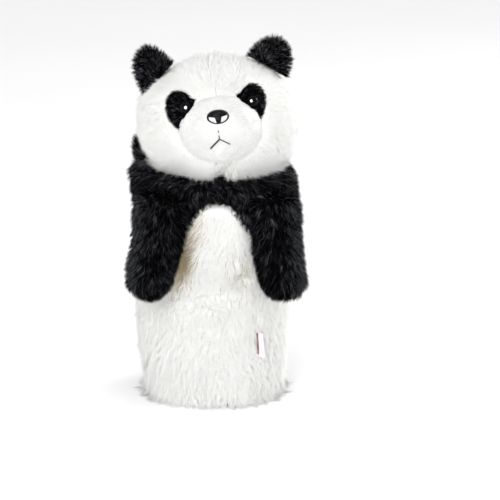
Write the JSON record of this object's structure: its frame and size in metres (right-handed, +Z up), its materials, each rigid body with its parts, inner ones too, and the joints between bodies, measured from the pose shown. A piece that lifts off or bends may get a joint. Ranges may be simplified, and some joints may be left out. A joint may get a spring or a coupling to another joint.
{
  "type": "driver head cover",
  "caption": "Plush panda cover that slips over a golf driver's head: a lined fur sleeve with a stuffed head, round ears and two hanging arms.",
  "frame": {"origin": "centre of the sleeve's mouth, in the plane of the hem that the cover stands on", "axes": "+Z up from the mouth to the top of the head, -Y the way the face looks, +X the panda's own left"},
  "size_m": [0.1782, 0.1676, 0.3662],
  "materials": {
    "hem_tape": "matte",
    "white_long_pile": "matte",
    "black_long_pile": "matte",
    "black_short_pile": "matte",
    "white_short_pile": "matte",
    "polyester_fill": "matte",
    "lining_knit": "matte",
    "padding_foam": "matte",
    "mouth_thread": "satin",
    "gloss_black": "gloss",
    "washer_plastic": "satin",
    "label_weave": "satin"
  },
  "bodies": {
    "cover": {"hem_binding": "hem_tape", "sleeve_front": "white_long_pile", "sleeve_back": "white_long_pile", "belly_panel": "white_long_pile", "yoke_front": "black_long_pile", "yoke_back": "black_long_pile", "inner_lining": "lining_knit", "foam_padding": "padding_foam", "face_left": "white_long_pile", "face_right": "white_long_pile", "head_back": "white_long_pile", "head_stuffing": "polyester_fill", "muzzle_panel": "white_short_pile", "muzzle_stuffing": "polyester_fill", "mouth_stitches": "mouth_thread", "nose": "gloss_black", "nose_washer": "washer_plastic", "eye_patch_left": "black_short_pile", "eye_patch_right": "black_short_pile", "eye_left": "gloss_black", "eye_right": "gloss_black", "eye_washer_left": "washer_plastic", "eye_washer_right": "washer_plastic", "ear_left_front": "black_long_pile", "ear_left_back": "black_long_pile", "ear_right_front": "black_long_pile", "ear_right_back": "black_long_pile", "woven_label": "label_weave"},
    "arm_left": {"arm_left_front": "black_long_pile", "arm_left_back": "black_long_pile", "arm_left_stuffing": "polyester_fill"},
    "arm_right": {"arm_right_front": "black_long_pile", "arm_right_back": "black_long_pile", "arm_right_stuffing": "polyester_fill"}
  },
  "joints": [
    {"name": "arm_left_swing", "type": "hinge", "parent": "cover", "child": "arm_left", "pos_m": [0.058, -0.069, 0.213], "axis": [-0.9397, -0.342, 0], "range_deg": [0, 110]},
    {"name": "arm_right_swing", "type": "hinge", "parent": "cover", "child": "arm_right", "pos_m": [-0.058, -0.069, 0.213], "axis": [-0.9397, 0.342, 0], "range_deg": [0, 110]}
  ]
}
